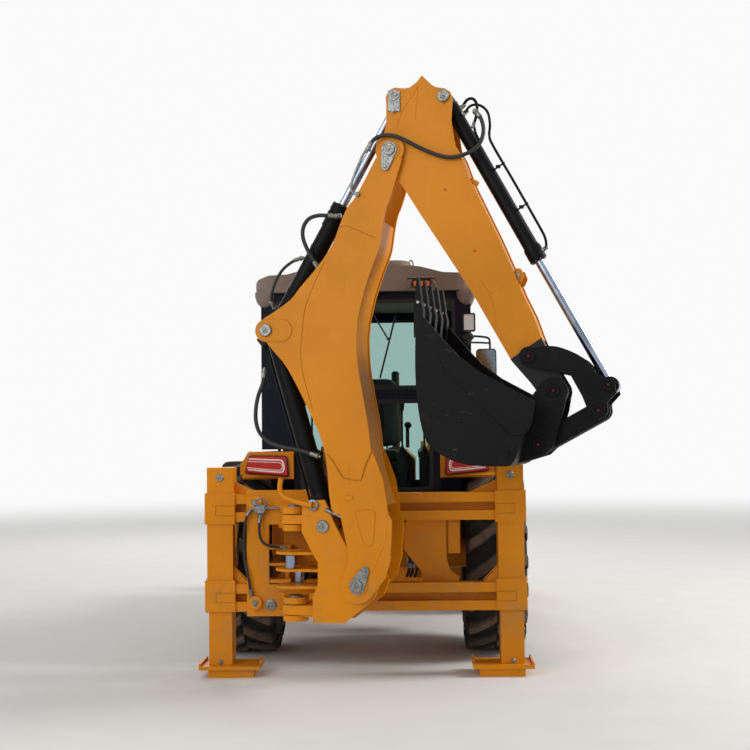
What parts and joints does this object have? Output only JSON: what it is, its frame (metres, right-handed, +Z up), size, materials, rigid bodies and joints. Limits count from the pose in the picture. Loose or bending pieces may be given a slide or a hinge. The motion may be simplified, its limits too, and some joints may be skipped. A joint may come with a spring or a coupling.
{
  "type": "backhoe loader",
  "caption": "Backhoe loader with a side-shift digging arm at the rear, a cab over the rear axle and a loader bucket on two arms at the front.",
  "frame": {"origin": "on the ground, below the middle of the machine's bounding box", "axes": "+X to the machine's right, +Y forward, +Z up"},
  "size_m": [2.786, 6.3362, 3.8814],
  "materials": {
    "yellow_paint": "satin",
    "black_paint": "satin",
    "cab_paint": "satin",
    "roof_plastic": "matte",
    "trim_plastic": "matte",
    "seat_vinyl": "matte",
    "window_glass": "clear, lightly tinted",
    "tyre_rubber": "matte",
    "hose_rubber": "satin",
    "engine_grey": "rough",
    "chrome": "polished",
    "lamp_lens": "gloss"
  },
  "bodies": {
    "machine": {"chassis": "yellow_paint", "drivetrain": "engine_grey", "rear_axle": "yellow_paint", "front_axle": "yellow_paint", "hood": "yellow_paint", "grille": "black_paint", "stacks": "black_paint", "fenders": "yellow_paint", "lamps": "lamp_lens", "cab_frame": "cab_paint", "cab_roof": "roof_plastic", "cab_glass": "window_glass", "cab_interior": "trim_plastic", "seat_cushion": "seat_vinyl", "mirrors": "trim_plastic", "slide_frame": "yellow_paint"},
    "knuckle_left": {"knuckle_left": "yellow_paint"},
    "knuckle_right": {"knuckle_right": "yellow_paint"},
    "wheel_rear_left": {"tyre_rear_left": "tyre_rubber", "rim_rear_left": "yellow_paint"},
    "wheel_rear_right": {"tyre_rear_right": "tyre_rubber", "rim_rear_right": "yellow_paint"},
    "wheel_front_left": {"tyre_front_left": "tyre_rubber", "rim_front_left": "yellow_paint"},
    "wheel_front_right": {"tyre_front_right": "tyre_rubber", "rim_front_right": "yellow_paint"},
    "door_left": {"door_left": "cab_paint", "door_glass_left": "window_glass"},
    "door_right": {"door_right": "cab_paint", "door_glass_right": "window_glass"},
    "dipper": {"dipper": "yellow_paint", "hose_head": "hose_rubber"},
    "dipper_barrel": {"dipper_barrel": "black_paint", "hose_hump": "hose_rubber"},
    "boom": {"boom": "yellow_paint", "hose_foot": "hose_rubber"},
    "backhoe_bucket": {"backhoe_bucket": "black_paint"},
    "boom_barrel": {"boom_barrel": "black_paint"},
    "boom_rod": {"boom_rod": "chrome"},
    "bucket_barrel": {"bucket_barrel": "black_paint"},
    "bucket_link": {"bucket_link": "black_paint"},
    "bucket_rod": {"bucket_rod": "chrome"},
    "carriage": {"carriage": "yellow_paint"},
    "dipper_rod": {"dipper_rod": "chrome"},
    "kingpost": {"kingpost": "yellow_paint"},
    "lift_barrels": {"lift_barrels": "black_paint"},
    "lift_rods": {"lift_rods": "chrome"},
    "loader_arms": {"loader_arms": "yellow_paint"},
    "loader_bucket": {"loader_bucket": "yellow_paint"},
    "stabiliser_left": {"stabiliser_left": "yellow_paint"},
    "stabiliser_right": {"stabiliser_right": "yellow_paint"},
    "swing_barrel_left": {"swing_barrel_left": "black_paint"},
    "swing_barrel_right": {"swing_barrel_right": "black_paint"},
    "swing_rod_left": {"swing_rod_left": "chrome"},
    "swing_rod_right": {"swing_rod_right": "chrome"},
    "tilt_barrels": {"tilt_barrels": "black_paint"},
    "tilt_levers": {"tilt_levers": "yellow_paint"},
    "tilt_links": {"tilt_links": "yellow_paint"},
    "tilt_rods": {"tilt_rods": "chrome"},
    "tipping_lever": {"tipping_lever": "black_paint"}
  },
  "joints": [
    {"name": "wheel_rear_left_spin", "type": "hinge", "parent": "machine", "child": "wheel_rear_left", "pos_m": [-1.15696, -1.01185, 0.715], "axis": [1, 0, 0], "continuous": true},
    {"name": "wheel_rear_right_spin", "type": "hinge", "parent": "machine", "child": "wheel_rear_right", "pos_m": [0.67104, -1.01185, 0.715], "axis": [1, 0, 0], "continuous": true},
    {"name": "steering_right", "type": "hinge", "parent": "machine", "child": "knuckle_right", "pos_m": [0.41704, 1.16815, 0.49], "axis": [0, 0, 1], "range_deg": [-35, 35]},
    {"name": "steering_left", "type": "hinge", "parent": "machine", "child": "knuckle_left", "pos_m": [-0.90296, 1.16815, 0.49], "axis": [0, 0, 1], "range_deg": [-35, 35]},
    {"name": "wheel_front_right_spin", "type": "hinge", "parent": "knuckle_right", "child": "wheel_front_right", "pos_m": [0.63704, 1.16815, 0.49], "axis": [1, 0, 0], "continuous": true},
    {"name": "wheel_front_left_spin", "type": "hinge", "parent": "knuckle_left", "child": "wheel_front_left", "pos_m": [-1.12296, 1.16815, 0.49], "axis": [1, 0, 0], "continuous": true},
    {"name": "door_right_hinge", "type": "hinge", "parent": "machine", "child": "door_right", "pos_m": [0.50704, -1.04185, 1.825], "axis": [0, 0, 1], "range_deg": [-90, 0]},
    {"name": "door_left_hinge", "type": "hinge", "parent": "machine", "child": "door_left", "pos_m": [-0.99296, -1.04185, 1.825], "axis": [0, 0, 1], "range_deg": [0, 90]},
    {"name": "stabiliser_left_slide", "type": "slide", "parent": "machine", "child": "stabiliser_left", "axis": [0, 0, 1], "range_m": [-0.15, 0.32]},
    {"name": "stabiliser_right_slide", "type": "slide", "parent": "machine", "child": "stabiliser_right", "axis": [0, 0, 1], "range_m": [-0.15, 0.32]},
    {"name": "carriage_slide", "type": "slide", "parent": "machine", "child": "carriage", "axis": [1, 0, 0], "range_m": [0, 0.88]},
    {"name": "kingpost_swing", "type": "hinge", "parent": "carriage", "child": "kingpost", "pos_m": [-0.68296, -2.43185, 0.8], "axis": [0, 0, 1], "range_deg": [-167, 13]},
    {"name": "boom_lift", "type": "hinge", "parent": "kingpost", "child": "boom", "pos_m": [-0.22988, -2.53645, 0.667], "axis": [-0.225, -0.9744, 0], "range_deg": [-125, 0]},
    {"name": "dipper_swing", "type": "hinge", "parent": "boom", "child": "dipper", "pos_m": [0.00408, -2.59047, 3.41152], "axis": [-0.225, -0.9744, 0], "range_deg": [0, 118]},
    {"name": "bucket_curl", "type": "hinge", "parent": "dipper", "child": "backhoe_bucket", "pos_m": [0.98212, -2.81626, 1.86585], "axis": [-0.225, -0.9744, 0], "range_deg": [0, 170]},
    {"name": "lever_turn", "type": "hinge", "parent": "dipper", "child": "tipping_lever", "pos_m": [0.84378, -2.78433, 2.07531], "axis": [-0.225, -0.9744, 0], "range_deg": [0, 108.55]},
    {"name": "link_turn", "type": "hinge", "parent": "backhoe_bucket", "child": "bucket_link", "pos_m": [0.8876, -2.79444, 1.54085], "axis": [-0.225, -0.9744, 0], "range_deg": [-93.64, 0]},
    {"name": "boom_cylinder_barrel_turn", "type": "hinge", "parent": "boom", "child": "boom_barrel", "pos_m": [-0.81016, -2.40248, 2.29309], "axis": [-0.225, -0.9744, 0], "range_deg": [-4.17, 0]},
    {"name": "boom_cylinder_rod_slide", "type": "slide", "parent": "boom_barrel", "child": "boom_rod", "axis": [0.2698, -0.0623, -0.9609], "range_m": [0, 0.76374]},
    {"name": "dipper_cylinder_barrel_turn", "type": "hinge", "parent": "boom", "child": "dipper_barrel", "pos_m": [-0.81016, -2.40248, 2.29309], "axis": [-0.225, -0.9744, 0], "range_deg": [0, 2.68]},
    {"name": "dipper_cylinder_rod_slide", "type": "slide", "parent": "dipper_barrel", "child": "dipper_rod", "axis": [0.4917, -0.1135, 0.8634], "range_m": [-0.60759, 0]},
    {"name": "bucket_cylinder_barrel_turn", "type": "hinge", "parent": "dipper", "child": "bucket_barrel", "pos_m": [0.33977, -2.66797, 3.73661], "axis": [-0.225, -0.9744, 0], "range_deg": [-3.29, 0]},
    {"name": "bucket_cylinder_rod_slide", "type": "slide", "parent": "bucket_barrel", "child": "bucket_rod", "axis": [0.462, -0.1067, -0.8804], "range_m": [-0.82014, 0]},
    {"name": "swing_cylinder_left_turn", "type": "hinge", "parent": "carriage", "child": "swing_barrel_left", "pos_m": [-0.77296, -2.04185, 0.806], "axis": [0, 0, 1], "range_deg": [-0.66, 8.4]},
    {"name": "swing_cylinder_left_slide", "type": "slide", "parent": "swing_barrel_left", "child": "swing_rod_left", "axis": [0.1445, -0.9895, 0], "range_m": [-0.16955, 0.01321]},
    {"name": "swing_cylinder_right_turn", "type": "hinge", "parent": "carriage", "child": "swing_barrel_right", "pos_m": [-0.59296, -2.04185, 0.698], "axis": [0, 0, 1], "range_deg": [-0.2, 2.38]},
    {"name": "swing_cylinder_right_slide", "type": "slide", "parent": "swing_barrel_right", "child": "swing_rod_right", "axis": [-0.2248, -0.9744, 0], "range_m": [-0.01387, 0.17812]},
    {"name": "loader_lift", "type": "hinge", "parent": "machine", "child": "loader_arms", "pos_m": [-0.24296, 0.10815, 1.44], "axis": [1, 0, 0], "range_deg": [-3, 67]},
    {"name": "loader_bucket_tip", "type": "hinge", "parent": "loader_arms", "child": "loader_bucket", "pos_m": [-0.24296, 2.31815, 0.3], "axis": [1, 0, 0], "range_deg": [-107, 40]},
    {"name": "tilt_lever_turn", "type": "hinge", "parent": "loader_arms", "child": "tilt_levers", "pos_m": [-0.24296, 1.62815, 1.23], "axis": [1, 0, 0], "range_deg": [-107.01, 40.01]},
    {"name": "tilt_link_turn", "type": "hinge", "parent": "tilt_levers", "child": "tilt_links", "pos_m": [-0.24296, 1.68024, 1.52544], "axis": [1, 0, 0], "range_deg": [-40.01, 107.01]},
    {"name": "tilt_barrel_turn", "type": "hinge", "parent": "loader_arms", "child": "tilt_barrels", "pos_m": [-0.24296, 0.58815, 1.44], "axis": [1, 0, 0], "range_deg": [-10.39, 3.89]},
    {"name": "tilt_rod_slide", "type": "slide", "parent": "tilt_barrels", "child": "tilt_rods", "axis": [0, 0.9994, 0.0345], "range_m": [-0.13686, 0.36608]},
    {"name": "lift_barrel_turn", "type": "hinge", "parent": "machine", "child": "lift_barrels", "pos_m": [-0.24296, 0.13815, 0.76], "axis": [1, 0, 0], "range_deg": [-2.21, 49.05]},
    {"name": "lift_rod_slide", "type": "slide", "parent": "lift_barrels", "child": "lift_rods", "axis": [0, 0.959, 0.2835], "range_m": [-0.02668, 0.59563]}
  ],
  "couplings": [
    {"joint": "steering_left", "follows": "steering_right", "ratio": 1},
    {"joint": "lever_turn", "follows": "bucket_curl", "ratio": 0.63823},
    {"joint": "link_turn", "follows": "bucket_curl", "ratio": -0.55053},
    {"joint": "boom_cylinder_barrel_turn", "follows": "boom_lift", "ratio": 0.033324},
    {"joint": "boom_cylinder_rod_slide", "follows": "boom_lift", "m_per_rad": -0.3499},
    {"joint": "dipper_cylinder_barrel_turn", "follows": "dipper_swing", "ratio": 0.022682},
    {"joint": "dipper_cylinder_rod_slide", "follows": "dipper_swing", "m_per_rad": -0.29487},
    {"joint": "bucket_cylinder_barrel_turn", "follows": "bucket_curl", "ratio": -0.01937},
    {"joint": "bucket_cylinder_rod_slide", "follows": "bucket_curl", "m_per_rad": -0.27628},
    {"joint": "swing_cylinder_left_turn", "follows": "kingpost_swing", "ratio": -0.050248},
    {"joint": "swing_cylinder_left_slide", "follows": "kingpost_swing", "m_per_rad": 0.058168},
    {"joint": "swing_cylinder_right_turn", "follows": "kingpost_swing", "ratio": -0.01421},
    {"joint": "swing_cylinder_right_slide", "follows": "kingpost_swing", "m_per_rad": -0.061107},
    {"joint": "tilt_lever_turn", "follows": "loader_bucket_tip", "ratio": 1},
    {"joint": "tilt_link_turn", "follows": "loader_bucket_tip", "ratio": -1},
    {"joint": "tilt_barrel_turn", "follows": "loader_bucket_tip", "ratio": 0.097002},
    {"joint": "tilt_rod_slide", "follows": "loader_bucket_tip", "m_per_rad": -0.19602},
    {"joint": "lift_barrel_turn", "follows": "loader_lift", "ratio": 0.73193},
    {"joint": "lift_rod_slide", "follows": "loader_lift", "m_per_rad": 0.50935}
  ]
}
